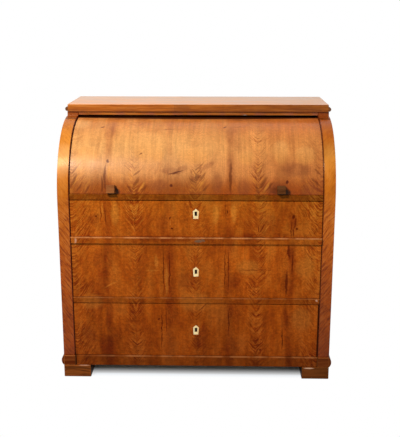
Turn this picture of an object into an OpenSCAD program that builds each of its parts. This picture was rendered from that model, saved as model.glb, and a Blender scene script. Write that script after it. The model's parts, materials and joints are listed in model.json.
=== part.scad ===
// Cylinder bureau: a chest of three long drawers with a pull-out writing slide above them,
// closed by a quarter-round fall that rolls back over a small inner gallery.
// Millimetres. X runs along the front, Y from front to back, Z up. The floor is Z = 0.

/* [Case] */
// Width over the two sides
case_w = 1100; // [1000:1:1200]
// Gap between the rear edge of the open fall and the back frame
fall_room = 11; // [7:1:60]
// Thickness of a side panel
side_t = 25; // [20:1:27]
// Width of a front stile
stile_w = 47; // [46:1:56]
// Thickness of a front stile, straight and curved part alike
stile_t = 24; // [20:1:26]
// Depth of the drawer rails from front to back
rail_d = 60; // [40:1:90]
// Thickness of the bottom board and of the board below the writing slide
board_t = 16; // [12:1:18]
// Thickness of the back frame
back_t = 14; // [12:1:16]
// Width of the back frame's uprights and rails
back_bar = 80; // [60:1:110]
// Thickness of the back panels
back_panel_t = 7; // [5:1:9]

/* [Heights] */
// Height of the feet
foot_h = 52; // [40:1:70]
// Height of the base rail
base_h = 43; // [38:1:60]
// Height of the lowest drawer's opening
drawer_3_h = 230; // [210:1:260]
// Height of the rail above the lowest drawer
rail_2_h = 25; // [22:1:32]
// Height of the middle drawer's opening
drawer_2_h = 228; // [210:1:260]
// Height of the rail above the middle drawer
rail_1_h = 27; // [22:1:32]
// Height of the top drawer's opening
drawer_1_h = 150; // [140:1:180]
// Height of the strip between the top drawer and the fall
slide_h = 24; // [22:1:30]

/* [Curve] */
// Radius of the curved front of the stiles
curve_r = 305; // [295:1:315]
// How far the curve's centre lies below the top of the uppermost drawer's opening
axis_drop = 5; // [0:1:10]
// Height of the straight block between the curve and the top board
frieze_h = 16; // [12:1:24]
// How far the frieze stands ahead of the curve's highest point
frieze_lap = 10; // [6:1:16]
// Thickness of the frieze rail
frieze_t = 22; // [16:1:28]
// Open slot between the fall and the frieze rail
frieze_slot = 8; // [5:0.5:10]

/* [Top board] */
// Thickness of the top board
top_t = 31; // [26:1:36]
// How far the top board's front edge stands ahead of the frieze
top_lap = 7; // [4:1:12]
// How far each end of the top board stands inside the case side
top_inset = 3; // [1:1:5]
// Height of the half-round bead along each end of the top board
bead_h = 18; // [14:1:22]
// How far the bead stands out from the top board
bead_out = 11; // [7:0.5:11]
// How far the bead's lower edge lies above the top board's underside
bead_lift = 2; // [0:0.5:4]
// How far the bead's end lies behind the top board's front edge
bead_set = 1; // [0.5:0.5:3]

/* [Base] */
// How far the plinth blocks and the feet stand ahead of the stiles
plinth_out = 7; // [5:0.5:10]
// How much wider than the stile a plinth block is
plinth_over = 3; // [0:0.5:8]
// How far the rounded plinth moulding stands out from the side
moulding_out = 9; // [6:0.5:12]
// Width of a foot
foot_w = 112; // [80:1:140]
// Depth of a foot
foot_d = 110; // [80:1:140]
// How far the base rail stands ahead of the stiles
base_out = 4; // [2:0.5:5]
// How far the rail below the top drawer stands ahead of the stiles
rail_1_out = 5; // [2:0.5:8]
// How far the rail below the middle drawer stands ahead of the stiles
rail_2_out = 1; // [0.5:0.5:5]

/* [Long drawers] */
// Thickness of the drawer fronts
front_t = 22; // [20:1:23]
// How far the fronts lie behind the stiles' face
front_set = 1.5; // [0.5:0.5:2]
// Gap round a drawer front
front_gap = 1.5; // [1:0.1:2.5]
// Thickness of a drawer side
drawer_side_t = 12; // [10:1:15]
// Thickness of a drawer back
drawer_back_t = 10; // [8:1:14]
// Thickness of a drawer bottom
drawer_bottom_t = 7; // [5:1:9]
// Room left behind a closed long drawer
drawer_room = 47.5; // [20:0.5:130]
// How far the drawer sides lie inside the ends of the front
side_set = 1; // [0.5:0.5:2]
// Height of the bottom's groove above the lower edge of the sides
groove_up = 9; // [8:1:14]
// Depth of that groove
groove_in = 5; // [3:1:6]
// Depth of the dovetails that hold the sides in the front
tail_d = 15; // [10:1:17]
// Height of a dovetail at its narrow end
tail_h = 26; // [18:1:30]
// How much a dovetail spreads at each edge
tail_spread = 3; // [1:0.5:4]
// Distance between dovetails
tail_pitch = 44; // [40:1:60]
// Thickness of the runners that carry the drawers
runner_t = 20; // [14:1:21]
// Width of the runners
runner_w = 56; // [50:1:80]
// Height of the guides beside the drawers
guide_h = 30; // [20:1:50]

/* [Locks] */
// How far the top drawer's keyhole lies below the top of its opening
key_1_down = 53; // [50:1:60]
// How far the middle drawer's keyhole lies below the top of its opening
key_2_down = 117; // [90:1:140]
// How far the lowest drawer's keyhole lies below the top of its opening
key_3_down = 115; // [90:1:140]
// Width of an inlaid key plate
key_plate_w = 24; // [20:1:30]
// Height of an inlaid key plate
key_plate_h = 41; // [36:1:46]
// Width of the key plate's foot
key_plate_foot = 20; // [16:1:20]
// How far the key plate's shoulders lie below its point
key_plate_drop = 10.5; // [6:0.5:12]
// Thickness of a key plate
key_plate_t = 2; // [1:0.5:3]
// Radius of the round part of a keyhole
keyhole_r = 4; // [3.5:0.5:5]
// Radius of the lower end of a keyhole
keyhole_foot_r = 3; // [2.5:0.5:3]
// Width of a keyhole's waist
keyhole_waist = 4.4; // [4.2:0.1:5]
// Height of a keyhole
keyhole_h = 17.5; // [16:0.5:20]
// Width of a lock case
lock_w = 72; // [50:1:90]
// Height of a lock case
lock_h = 56; // [50:1:66]
// Thickness of a lock case
lock_t = 11; // [8:1:14]
// Radius of the pin that the key slips over
key_pin_r = 1.2; // [1:0.1:1.5]
// Length of that pin
key_pin_l = 12; // [8:1:16]
// Width of a lock bolt
bolt_w = 16; // [10:1:24]
// Thickness of a lock bolt
bolt_t = 3.7; // [2.5:0.1:4.5]
// Height of a bolt's lower end above the keyhole's middle
bolt_foot = 13; // [12:1:20]
// How far a bolt rises when it is locked
bolt_throw = 10; // [6:1:12]
// Thickness of the strap that keeps the bolt in its groove
strap_t = 1.5; // [1:0.1:1.8]
// How far the strap reaches past the bolt at each side
strap_over = 8; // [6:1:12]
// Height of the strap
strap_h = 11; // [8:1:12]
// Distance of the strap from the top of the front
strap_drop = 5; // [3:1:6]

/* [Fall] */
// Thickness of the curved fall
fall_t = 20; // [16:1:22]
// How far the fall's face lies inside the stiles' curve
fall_set = 7; // [3:0.5:9]
// Gap at each end of the fall and of the writing slide's edge
fall_gap = 1; // [0.5:0.1:2]
// Gap between the fall and the writing slide's edge
fall_foot = 1; // [0.5:0.1:2]
// Angle by which the fall runs on behind the frieze
fall_tuck = 3; // [2:0.5:4]
// Thickness of the quadrant boards at the ends of the fall
quadrant_t = 16; // [12:1:18]
// Gap between a quadrant board and the stile's curve
quadrant_gap = 2; // [1:0.5:4]
// Width of the curved cleats inside the fall
cleat_w = 24; // [16:1:40]
// Thickness of those cleats
cleat_t = 20; // [14:1:24]
// Side of a square pull knob
knob_w = 32; // [28:1:36]
// How far a knob stands out from the fall
knob_out = 25; // [20:1:30]
// Distance of each knob from the middle
knob_x = 336; // [280:1:380]
// Height of the knobs' centres above the strip below the fall
knob_up = 20; // [19:1:40]
// Radius of the round tenon that holds a knob
knob_peg_r = 6; // [4:0.5:9]
// Length of that tenon inside the fall
knob_peg_l = 14; // [8:1:15]
// Radius of a pivot pin
pin_r = 8; // [6:0.5:10]
// Radius of the hub round a pivot pin
hub_r = 28; // [20:1:30]
// Depth of a pivot pin's hole in the side panel
pin_in = 15; // [10:1:18]
// How far the fall turns before it meets its rear stops, in degrees
fall_open = 70; // [60:1:70]
// Length of a stop block
stop_l = 60; // [40:1:80]
// Distance of the front stop blocks behind the stile
stop_set = 16; // [8:1:30]
// Distance of the rear stop blocks behind the pivot
rear_stop_set = 130; // [100:1:160]

/* [Writing slide] */
// Thickness of the slide's board
slide_t = 18; // [15:1:20]
// How much deeper than a drawer front the slide's front edge is
lip_over = 2; // [2:1:6]
// Gap between the slide's edge and the top drawer
lip_gap = 1; // [0.5:0.1:1.5]
// How far the deck below the slide rises behind the slide's edge
deck_rise = 1; // [0:0.5:2]
// Gap between the slide's rear end and the back frame
slide_back_gap = 10; // [4:1:30]
// Gap between the slide and the gallery's floor
slide_over = 2; // [1:0.5:4]

/* [Gallery] */
// Thickness of the curved lining boards beside the writing space
lining_t = 13; // [10:1:16]
// Gap between the lining boards and the fall's cleats
lining_gap = 12; // [8:1:20]
// Gap between the lining boards and the quadrant boards
lining_side_gap = 2; // [1:0.5:4]
// How far the gallery's front stands ahead of the pivot
gallery_lead = 5; // [0:1:20]
// Depth of the gallery
gallery_d = 180; // [165:1:185]
// Height of the gallery over all
gallery_h = 138; // [120:1:142]
// Thickness of the gallery's boards
gallery_t = 8; // [6:1:10]
// Thickness of the gallery's back
gallery_back_t = 6; // [4:1:8]
// Width of the open middle of the gallery
niche_w = 320; // [240:1:400]
// Height of the small drawers' openings
small_h = 62; // [50:1:70]
// Thickness of a small drawer's front
small_front_t = 12; // [10:1:14]
// How far a small drawer's front lies behind the gallery's edge
small_set = 1; // [0.5:0.5:3]
// Thickness of a small drawer's sides, back and bottom
small_wall = 5; // [4:0.5:7]
// Room left behind a closed small drawer
small_room = 17; // [10:1:50]
// Gap round a small drawer
small_gap = 1; // [0.6:0.1:1.5]
// Radius of a small drawer's knob
small_knob_r = 7; // [5:0.5:9]
// Radius of that knob's stem
small_stem_r = 3; // [2:0.5:4]
// Length of that stem
small_stem_l = 6; // [5:0.5:10]

/* [Fits] */
// Hairline between pieces that are glued or screwed together
hair = 0.1; // [0.05:0.05:0.2]
// Gap under a piece that rests on another and moves
seat_gap = 0.3; // [0.2:0.1:0.5]
// Running gap beside a piece that slides
run_gap = 1.5; // [1:0.1:2]
// Gap round a lock bolt
bolt_gap = 0.3; // [0.2:0.1:0.5]
// Radial clearance of the pivot pins in the quadrant boards
pin_fit = 0.05; // [0.02:0.01:0.1]

/* [Hidden] */
$fn = 96;

// Colours as the finishes read from a step away
honey = "#c9783a";
russet = "#9c4f1f";
umber = "#6e3a18";
pine = "#c9a36b";
bone = "#ead9ac";
iron = "#4a4643";
brass = "#b08d3e";

// Overlap of a cutting tool past the face that it cuts, and of two blocks in one piece
cut = 1;

// Heights of the levels, from the floor up
z_3 = foot_h + base_h;
z_rail_2 = z_3 + drawer_3_h;
z_2 = z_rail_2 + rail_2_h;
z_rail_1 = z_2 + drawer_2_h;
z_1 = z_rail_1 + rail_1_h;
z_slide = z_1 + drawer_1_h;
z_fall = z_slide + slide_h;
axis_z = z_slide - axis_drop;
z_top = axis_z + curve_r + frieze_h;

// Openings of the long drawers, from the top one down: floor, height and keyhole height
drawer_z = [z_1, z_2, z_3];
drawer_h = [drawer_1_h, drawer_2_h, drawer_3_h];
key_z = [z_slide - key_1_down, z_rail_1 - key_2_down, z_rail_2 - key_3_down];

// Places from front to back
axis_y = curve_r;
fall_r = curve_r - fall_set;
back_y = axis_y + fall_r * sin(fall_open + fall_tuck) + fall_room;
case_d = back_y + back_t;
frieze_y = axis_y - frieze_lap;
top_y = frieze_y - top_lap;
front_back = front_set + front_t;
drawer_end = back_y - drawer_room;
bolt_y = front_back - bolt_gap - bolt_t;

// Places from the middle outwards
side_in = case_w / 2 - side_t;
stile_in = case_w / 2 - stile_w;
front_end = stile_in - front_gap;
drawer_out = front_end - side_set;
drawer_in = drawer_out - drawer_side_t;

// The fall, its quadrant boards and its knobs
fall_in_r = fall_r - fall_t;
fall_low = z_fall + fall_foot;
fall_end = stile_in - fall_gap;
cleat_in_r = fall_in_r - cleat_t;
quadrant_r = curve_r - stile_t - quadrant_gap;
frieze_low = axis_z + fall_r + frieze_slot;
knob_angle = asin((z_fall + knob_up - axis_z) / fall_r);
knob_reach = (fall_r + knob_out) * cos(knob_angle) + knob_w / 2 * sin(knob_angle);

// The writing slide and the deck board that carries it
lip_low = z_slide + lip_gap;
lip_back = front_back + lip_over;
deck_top = lip_low + deck_rise;
deck_low = deck_top - board_t;
deck_front = lip_back + run_gap / 2;
slide_low = deck_top + seat_gap;
slide_top = slide_low + slide_t;

// The writing space and its gallery
lining_r = cleat_in_r - lining_gap;
lining_out = fall_end - lining_side_gap;
lining_in = lining_out - lining_t;
gallery_y = axis_y - gallery_lead;
gallery_end = gallery_y + gallery_d;
gallery_low = slide_top + slide_over;
gallery_floor = gallery_low + gallery_t;
gallery_high = gallery_low + gallery_h;
gallery_half = lining_in - hair;
small_in = niche_w / 2 + gallery_t;
small_out = lining_in;
small_top = gallery_floor + small_h;
small_front_y = gallery_y + small_set;
small_back_y = small_front_y + small_front_t;
small_end = gallery_end - small_room;

// Middle of the depth, between the knobs and the back
middle_y = (case_d + axis_y - knob_reach) / 2;

// Moves a piece so that the middle of the whole depth lies over the origin
module centred() {
    translate([0, -middle_y, 0]) children();
}

// A block between two corners
module block(low, high) {
    translate(low) cube(high - low);
}

// Extrudes an outline drawn in depth and height along the width
module across(from, to) {
    translate([from, 0, 0])
        rotate([90, 0, 90])
            linear_extrude(to - from)
                children();
}

// Extrudes an outline drawn in width and height along the depth
module through(from, to) {
    translate([0, to, 0])
        rotate([90, 0, 0])
            linear_extrude(to - from)
                children();
}

// A piece and its mirror image on the other side
module pair() {
    children();
    mirror([1, 0, 0]) children();
}

// The side's outline, with its front edge set back
module side_outline(back) {
    translate([back, foot_h])
        square([case_d - back, axis_z - foot_h]);
    intersection() {
        translate([axis_y, axis_z]) circle(curve_r - back);
        translate([0, axis_z]) square([axis_y, curve_r]);
    }
    translate([axis_y, axis_z])
        square([case_d - axis_y, curve_r - back]);
    translate([frieze_y + back, axis_z + curve_r / 2])
        square([case_d - frieze_y - back, z_top - axis_z - curve_r / 2]);
}

// A ring about the pivot, above a height and as far as an angle past upright
module ring_outline(outer, inner, low, past) {
    intersection() {
        translate([axis_y, axis_z])
            difference() {
                circle(outer);
                circle(inner);
            }
        translate([axis_y - outer, low])
            square([2 * outer, 2 * outer]);
        translate([axis_y, axis_z])
            rotate(-past)
                translate([-2 * outer, 0])
                    square([2 * outer, 2 * outer]);
    }
}

module side_panel() {
    color(honey) centred()
        difference() {
            across(side_in, case_w / 2)
                side_outline(stile_t + hair);
            translate([side_in - cut, axis_y, axis_z])
                rotate([0, 90, 0]) cylinder(r = pin_r, h = pin_in + cut);
        }
}

module side_panel_left() {
    mirror([1, 0, 0]) side_panel();
}

module side_panel_right() {
    side_panel();
}

module stile() {
    color(honey) centred()
        across(stile_in, case_w / 2)
            difference() {
                side_outline(0);
                side_outline(stile_t);
            }
}

module stile_left() {
    mirror([1, 0, 0]) stile();
}

module stile_right() {
    stile();
}

module top_board() {
    half = case_w / 2 - top_inset;
    color(honey) centred()
        block([-half, top_y, z_top], [half, case_d, z_top + top_t]);
}

// A bead along one side: a segment of a circle that stands out from an upright face
module side_bead(face, low, height, out, from) {
    r = (height * height / 4 + out * out) / (2 * out);
    translate([face, 0, low + height / 2])
        through(from, case_d)
            intersection() {
                translate([out - r, 0]) circle(r);
                translate([0, -height / 2]) square([out, height]);
            }
}

module top_beads() {
    color(umber) centred() pair()
        side_bead(case_w / 2 - top_inset, z_top + bead_lift, bead_h, bead_out, top_y + bead_set);
}

module plinth_mouldings() {
    color(russet) centred() pair()
        side_bead(case_w / 2, foot_h, base_h, moulding_out, -plinth_out);
}

module frieze_rail() {
    color(honey) centred()
        block([hair - stile_in, frieze_y, frieze_low],
              [stile_in - hair, frieze_y + frieze_t, z_top]);
}

// Size and place of the back frame
back_half = side_in - hair;
back_low = foot_h;
back_high = z_top - hair;
field_w = (2 * back_half - 3 * back_bar) / 2;
field_h = (back_high - back_low - 3 * back_bar) / 2;

// The daylight openings of the back frame, each taken as a block of the given thickness
module back_fields(margin, thick) {
    for (x = [-back_half + back_bar, back_bar / 2])
        for (z = [back_low + back_bar, back_low + 2 * back_bar + field_h])
            block([x - margin, back_y + (back_t - thick) / 2, z - margin],
                  [x + field_w + margin, back_y + (back_t + thick) / 2, z + field_h + margin]);
}

module back_frame() {
    color(pine) centred()
        difference() {
            union() {
                for (x = [-back_half, -back_bar / 2, back_half - back_bar])
                    block([x, back_y, back_low], [x + back_bar, case_d, back_high]);
                for (x = [-back_half + back_bar, back_bar / 2])
                    for (n = [0 : 2])
                        block([x + hair, back_y, back_low + n * (back_bar + field_h)],
                              [x + field_w - hair, case_d,
                               back_low + n * (back_bar + field_h) + back_bar]);
            }
            back_fields(groove_in + hair, back_panel_t + 2 * hair);
        }
}

module back_panels() {
    color(pine) centred()
        back_fields(groove_in, back_panel_t);
}

module bottom_board() {
    color(pine) centred()
        block([hair - side_in, stile_t + hair, z_3 - runner_t - board_t],
              [side_in - hair, back_y - hair, z_3 - runner_t]);
}

// The deck is open at each side where the fall's hubs turn
module deck_board() {
    hub_space = hub_r + run_gap;
    color(pine) centred()
        difference() {
            block([hair - side_in, deck_front, deck_low],
                  [side_in - hair, back_y - hair, deck_top]);
            pair()
                block([fall_end - run_gap, axis_y - hub_space, deck_low - cut],
                      [side_in + cut, axis_y + hub_space, deck_top + cut]);
        }
}

// The slot that takes a lock bolt when it is raised
module bolt_slot(low) {
    block([-bolt_w / 2 - run_gap, bolt_y - bolt_gap, low - cut],
          [bolt_w / 2 + run_gap, bolt_y + bolt_t + bolt_gap, low + bolt_throw + cut]);
}

module drawer_rail(low, high, out) {
    color(russet) centred()
        difference() {
            block([hair - stile_in, -out, low], [stile_in - hair, rail_d, high]);
            bolt_slot(low);
        }
}

module drawer_rail_1() {
    drawer_rail(z_rail_1, z_1, rail_1_out);
}

module drawer_rail_2() {
    drawer_rail(z_rail_2, z_2, rail_2_out);
}

module base_rail() {
    half = stile_in - plinth_over - hair;
    color(russet) centred()
        union() {
            block([-half, -base_out, foot_h], [half, cut, z_3]);
            block([hair - stile_in, 0, foot_h], [stile_in - hair, stile_t, z_3]);
        }
}

module drawer_runners() {
    color(pine) centred() pair()
        for (n = [0 : 2])
            block([side_in - runner_w, (n < 2 ? rail_d : stile_t) + hair, drawer_z[n] - runner_t],
                  [side_in - hair, back_y - hair, drawer_z[n]]);
}

module drawer_guides() {
    color(pine) centred() pair()
        for (z = drawer_z)
            block([drawer_out + run_gap, stile_t + hair, z + hair],
                  [side_in - hair, back_y - hair, z + guide_h]);
}

module plinth_blocks() {
    color(russet) centred() pair()
        block([stile_in - plinth_over, -plinth_out, foot_h], [case_w / 2, 0, z_3]);
}

module feet() {
    color(umber) centred() pair()
        for (y = [-plinth_out, case_d - foot_d])
            block([case_w / 2 - foot_w, y, 0], [case_w / 2, y + foot_d, foot_h]);
}

module pivot_pins() {
    color(iron) centred() pair()
        translate([fall_end + hair, axis_y, axis_z])
            rotate([0, 90, 0]) cylinder(r = pin_r, h = side_in + pin_in - fall_end - hair);
}

// Blocks on the deck: the front pair carries the closed fall, the rear pair the open one
module fall_stops() {
    rise = tan(90 - fall_open);
    drop = seat_gap / sin(fall_open);
    front = stile_t + stop_set;
    rear = axis_y + rear_stop_set;
    color(pine) centred() pair()
        across(fall_end + hair, side_in - hair) {
            translate([front, deck_top])
                square([stop_l, fall_low - seat_gap - deck_top]);
            polygon([
                [rear, deck_top],
                [rear + stop_l, deck_top],
                [rear + stop_l, axis_z + (rear_stop_set + stop_l) * rise - drop],
                [rear, axis_z + rear_stop_set * rise - drop]
            ]);
        }
}

module lining_boards() {
    color(honey) centred() pair()
        across(lining_in, lining_out)
            intersection() {
                translate([axis_y, axis_z]) circle(lining_r);
                translate([axis_y - lining_r, deck_top])
                    square([lining_r + gallery_d - gallery_lead + gallery_back_t, lining_r]);
            }
}

module gallery_shelves() {
    color(honey) centred() {
        for (z = [gallery_low, gallery_high - gallery_t])
            block([-gallery_half, gallery_y, z],
                  [gallery_half, gallery_end - hair, z + gallery_t]);
        pair()
            block([small_in + hair, gallery_y, small_top],
                  [gallery_half, gallery_end - hair, small_top + gallery_t]);
    }
}

module gallery_uprights() {
    pigeonhole = (small_in + small_out) / 2;
    color(honey) centred() pair() {
        block([niche_w / 2, gallery_y, gallery_floor + hair],
              [niche_w / 2 + gallery_t, gallery_end - hair, gallery_high - gallery_t - hair]);
        block([pigeonhole - gallery_t / 2, gallery_y, small_top + gallery_t + hair],
              [pigeonhole + gallery_t / 2, gallery_end - hair, gallery_high - gallery_t - hair]);
    }
}

module gallery_back() {
    color(pine) centred()
        block([-gallery_half, gallery_end, gallery_low],
              [gallery_half, gallery_end + gallery_back_t, gallery_high]);
}

// The tenons that hold the knobs, larger by a margin where they are cut out
module knob_pegs(margin) {
    pair()
        translate([knob_x, axis_y, axis_z])
            rotate([90 - knob_angle, 0, 0])
                translate([0, 0, fall_r - knob_peg_l - margin])
                    cylinder(r = knob_peg_r + margin, h = knob_peg_l + fall_set + margin);
}

module fall_panel() {
    color(honey) centred()
        difference() {
            across(-fall_end, fall_end)
                ring_outline(fall_r, fall_in_r, fall_low, fall_tuck);
            knob_pegs(hair);
        }
}

module fall_cleats() {
    color(pine) centred() pair()
        across(fall_end - cleat_w, fall_end)
            ring_outline(fall_in_r, cleat_in_r, fall_low, fall_tuck);
}

module fall_quadrant() {
    color(pine) centred()
        difference() {
            across(fall_end, fall_end + quadrant_t) {
                intersection() {
                    translate([axis_y, axis_z]) circle(quadrant_r);
                    translate([0, fall_low]) square([axis_y, curve_r]);
                }
                translate([axis_y, axis_z]) circle(hub_r);
                translate([axis_y - hub_r, axis_z]) square([hub_r, 2 * hub_r]);
            }
            translate([fall_end - cut, axis_y, axis_z])
                rotate([0, 90, 0]) cylinder(r = pin_r + pin_fit, h = quadrant_t + 2 * cut);
        }
}

module fall_quadrant_left() {
    mirror([1, 0, 0]) fall_quadrant();
}

module fall_quadrant_right() {
    fall_quadrant();
}

module fall_knobs() {
    color(umber) centred() {
        difference() {
            pair()
                translate([knob_x, axis_y, axis_z])
                    rotate([90 - knob_angle, 0, 0])
                        translate([-knob_w / 2, -knob_w / 2, fall_r - cut])
                            cube([knob_w, knob_w, knob_out + cut]);
            translate([-case_w / 2, axis_y, axis_z])
                rotate([0, 90, 0]) cylinder(r = fall_r + hair, h = case_w);
        }
        knob_pegs(0);
    }
}

module slide_board() {
    half = lining_in - run_gap;
    color(honey) centred()
        block([-half, lip_back, slide_low], [half, back_y - slide_back_gap, slide_top]);
}

module slide_lip() {
    color(honey) centred()
        difference() {
            block([-fall_end, front_set, lip_low], [fall_end, lip_back, z_fall]);
            bolt_slot(lip_low);
        }
}

// Heights in the long drawer n: its front, its sides and its bottom board. The top drawer's
// sides pass under the deck, and the others are as much lower than their fronts.
function front_low(n) = drawer_z[n] + front_gap;
function front_high(n) = drawer_z[n] + drawer_h[n] - front_gap;
function sides_low(n) = drawer_z[n] + seat_gap;
function sides_high(n) = front_high(n) - front_high(0) + deck_low - run_gap;
function bottom_low(n) = sides_low(n) + groove_up;
function bottom_high(n) = bottom_low(n) + drawer_bottom_t;

// The dovetails at the front end of a side, larger by a margin where they are cut out
module tails(n, margin) {
    count = floor((sides_high(n) - bottom_high(n)) / tail_pitch);
    first = bottom_high(n) + (sides_high(n) - bottom_high(n) - (count - 1) * tail_pitch) / 2;
    narrow = tail_h / 2 + margin;
    wide = narrow + tail_spread;
    tip = front_back - tail_d - margin;
    for (k = [0 : count - 1])
        translate([0, first + k * tail_pitch])
            polygon([
                [front_back + cut, -narrow], [front_back + cut, narrow],
                [front_back, narrow], [tip, wide],
                [tip, -wide], [front_back, -narrow]
            ]);
}

// Outline of a keyhole about its middle, wider by a margin
module keyhole(margin) {
    translate([0, keyhole_h / 2 - keyhole_r]) circle(keyhole_r + margin);
    translate([0, keyhole_foot_r - keyhole_h / 2]) circle(keyhole_foot_r + margin);
    translate([-keyhole_waist / 2 - margin, keyhole_foot_r - keyhole_h / 2])
        square([keyhole_waist + 2 * margin, keyhole_h - keyhole_r - keyhole_foot_r]);
}

// Outline of a key plate about its middle: a shield with its point up
module key_plate(margin) {
    half = key_plate_w / 2 + margin;
    foot = key_plate_foot / 2 + margin;
    high = key_plate_h / 2 + margin;
    polygon([
        [-foot, -high], [foot, -high],
        [half, high - key_plate_drop], [0, high], [-half, high - key_plate_drop]
    ]);
}

module drawer_front(n) {
    color(russet) centred()
        difference() {
            block([-front_end, front_set, front_low(n)],
                  [front_end, front_back, front_high(n)]);
            pair()
                across(drawer_in - hair, front_end + cut)
                    tails(n, hair);
            block([-drawer_in - groove_in - hair, front_back - groove_in - hair,
                   bottom_low(n) - hair],
                  [drawer_in + groove_in + hair, front_back + cut, bottom_high(n) + hair]);
            translate([0, 0, key_z[n]]) {
                through(front_set - cut, front_set + key_plate_t + hair) key_plate(hair);
                through(front_set, front_back + cut) keyhole(hair);
            }
            block([-bolt_w / 2 - bolt_gap, bolt_y - bolt_gap, key_z[n] + bolt_foot - bolt_gap],
                  [bolt_w / 2 + bolt_gap, front_back + cut, front_high(n) + cut]);
        }
}

module drawer_sides(n) {
    color(pine) centred() pair()
        difference() {
            union() {
                block([drawer_in, front_back, sides_low(n)],
                      [drawer_out, drawer_end, sides_high(n)]);
                across(drawer_in, drawer_out)
                    tails(n, 0);
            }
            block([drawer_in - cut, front_back - cut, bottom_low(n) - hair],
                  [drawer_in + groove_in + hair, drawer_end + cut, bottom_high(n) + hair]);
        }
}

module drawer_back(n) {
    color(pine) centred()
        block([hair - drawer_in, drawer_end - drawer_back_t, bottom_high(n) + hair],
              [drawer_in - hair, drawer_end, sides_high(n)]);
}

module drawer_bottom(n) {
    color(pine) centred()
        block([-drawer_in - groove_in, front_back - groove_in, bottom_low(n)],
              [drawer_in + groove_in, drawer_end, bottom_high(n)]);
}

module drawer_key_plate(n) {
    color(bone) centred()
        translate([0, 0, key_z[n]])
            through(front_set, front_set + key_plate_t)
                difference() {
                    key_plate(0);
                    keyhole(0);
                }
}

module drawer_lock(n) {
    strap_half = bolt_w / 2 + strap_over;
    pin_z = key_z[n] + keyhole_h / 2 - keyhole_r;
    color(iron) centred() {
        block([-lock_w / 2, front_back, key_z[n] - lock_h / 2],
              [lock_w / 2, front_back + lock_t, key_z[n] + lock_h / 2]);
        translate([0, 0, pin_z])
            through(front_back - key_pin_l, front_back + cut) circle(key_pin_r);
        block([-strap_half, front_back, front_high(n) - strap_drop - strap_h],
              [strap_half, front_back + strap_t, front_high(n) - strap_drop]);
    }
}

module drawer_bolt(n) {
    color(iron) centred()
        block([-bolt_w / 2, bolt_y, key_z[n] + bolt_foot],
              [bolt_w / 2, bolt_y + bolt_t, front_high(n) - bolt_gap]);
}

// Middle of the small drawer on the right, and half the width of its box
small_x = (small_in + small_out) / 2;
small_half = (small_out - small_in) / 2 - small_gap;

module small_front() {
    color(honey) centred()
        block([small_x - small_half, small_front_y, gallery_floor + seat_gap],
              [small_x + small_half, small_back_y, small_top - small_gap]);
}

module small_box() {
    low = gallery_floor + seat_gap;
    high = small_top - 2 * small_gap;
    color(pine) centred() {
        for (x = [small_x - small_half, small_x + small_half - small_wall])
            block([x, small_back_y + hair, low], [x + small_wall, small_end, high]);
        block([small_x - small_half + small_wall + hair, small_back_y + hair, low],
              [small_x + small_half - small_wall - hair, small_end, low + small_wall]);
        block([small_x - small_half + small_wall + hair, small_end - small_wall,
               low + small_wall + hair],
              [small_x + small_half - small_wall - hair, small_end, high]);
    }
}

module small_knob() {
    color(brass) centred()
        translate([small_x, small_front_y, (gallery_floor + small_top) / 2]) {
            rotate([90, 0, 0]) cylinder(r = small_stem_r, h = small_stem_l);
            translate([0, -small_stem_l - small_knob_r / 2, 0]) sphere(small_knob_r);
        }
}

module small_drawer_left_front() {
    mirror([1, 0, 0]) small_front();
}

module small_drawer_left_box() {
    mirror([1, 0, 0]) small_box();
}

module small_drawer_left_knob() {
    mirror([1, 0, 0]) small_knob();
}

module small_drawer_right_front() {
    small_front();
}

module small_drawer_right_box() {
    small_box();
}

module small_drawer_right_knob() {
    small_knob();
}

side_panel_left();
side_panel_right();
stile_left();
stile_right();
top_board();
top_beads();
frieze_rail();
back_frame();
back_panels();
bottom_board();
deck_board();
drawer_rail_1();
drawer_rail_2();
base_rail();
drawer_runners();
drawer_guides();
plinth_blocks();
plinth_mouldings();
feet();
pivot_pins();
fall_stops();
lining_boards();
gallery_shelves();
gallery_uprights();
gallery_back();
fall_panel();
fall_cleats();
fall_quadrant_left();
fall_quadrant_right();
fall_knobs();
slide_board();
slide_lip();
drawer_front(0);  // drawer_1_front
drawer_sides(0);  // drawer_1_sides
drawer_back(0);  // drawer_1_back
drawer_bottom(0);  // drawer_1_bottom
drawer_key_plate(0);  // drawer_1_key_plate
drawer_lock(0);  // drawer_1_lock
drawer_bolt(0);  // drawer_1_bolt
drawer_front(1);  // drawer_2_front
drawer_sides(1);  // drawer_2_sides
drawer_back(1);  // drawer_2_back
drawer_bottom(1);  // drawer_2_bottom
drawer_key_plate(1);  // drawer_2_key_plate
drawer_lock(1);  // drawer_2_lock
drawer_bolt(1);  // drawer_2_bolt
drawer_front(2);  // drawer_3_front
drawer_sides(2);  // drawer_3_sides
drawer_back(2);  // drawer_3_back
drawer_bottom(2);  // drawer_3_bottom
drawer_key_plate(2);  // drawer_3_key_plate
drawer_lock(2);  // drawer_3_lock
drawer_bolt(2);  // drawer_3_bolt
small_drawer_left_front();
small_drawer_left_box();
small_drawer_left_knob();
small_drawer_right_front();
small_drawer_right_box();
small_drawer_right_knob();
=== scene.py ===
"""Looks of the cylinder bureau: figured veneer under old polish, eased edges and fittings.

Lengths are in metres. X runs to the right along the front, Y to the back and Z up.
"""

import json
import math

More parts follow.
